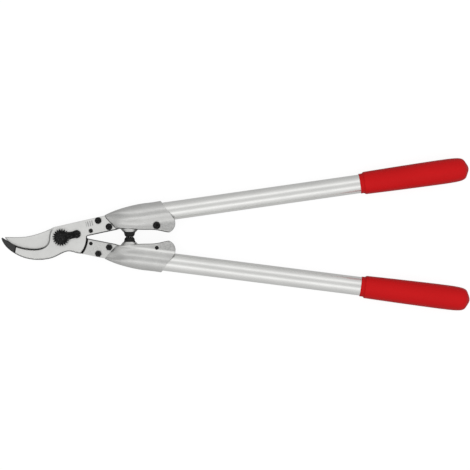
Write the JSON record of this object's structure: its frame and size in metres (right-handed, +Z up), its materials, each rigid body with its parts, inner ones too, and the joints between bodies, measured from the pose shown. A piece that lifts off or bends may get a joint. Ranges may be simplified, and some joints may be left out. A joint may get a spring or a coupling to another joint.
{
  "type": "bypass lopper",
  "caption": "Long two-handed bypass lopper: hooked counter-blade and curved blade on a toothed pivot nut, cast brackets, aluminium tube handles, red grips, rubber buffers.",
  "frame": {"origin": "under the middle of the closed tool's bounding box, on the surface its grips lie on", "axes": "+X from the jaws to the grips along the middle line, +Y towards the handle that carries the hook, +Z up, square to the plates"},
  "size_m": [0.6301, 0.2054, 0.0331],
  "materials": {
    "ground_steel": "fine ground",
    "bare_steel": "bright",
    "bronze": "machined",
    "black_steel": "black oxide, satin",
    "cast_aluminium": "tumbled casting",
    "drawn_aluminium": "satin, drawn lengthways",
    "red_vinyl": "satin",
    "black_rubber": "matt",
    "black_plastic": "moulded"
  },
  "bodies": {
    "hook_side": {"hook_plate": "ground_steel", "pivot_bolt": "black_steel", "pivot_washer": "bare_steel", "pivot_nut": "black_steel", "lock_segment": "black_steel", "lock_screw": "black_steel", "upper_bracket": "cast_aluminium", "upper_tube": "drawn_aluminium", "upper_end_plug": "black_plastic", "upper_grip": "red_vinyl", "upper_buffer": "black_rubber", "upper_plate_bolts": "black_steel", "upper_plate_nuts": "black_steel", "upper_dowel_pin": "black_steel", "upper_clamp_screw": "black_steel"},
    "blade_side": {"cutting_blade": "ground_steel", "pivot_bush": "bronze", "lower_bracket": "cast_aluminium", "lower_tube": "drawn_aluminium", "lower_end_plug": "black_plastic", "lower_grip": "red_vinyl", "lower_buffer": "black_rubber", "lower_plate_bolts": "black_steel", "lower_plate_nuts": "black_steel", "lower_dowel_pin": "black_steel", "lower_clamp_screw": "black_steel"}
  },
  "joints": [
    {"name": "jaw_pivot", "type": "hinge", "parent": "hook_side", "child": "blade_side", "pos_m": [-0.2343, 0, 0.01655], "axis": [0, 0, -1], "range_deg": [0, 45]}
  ]
}
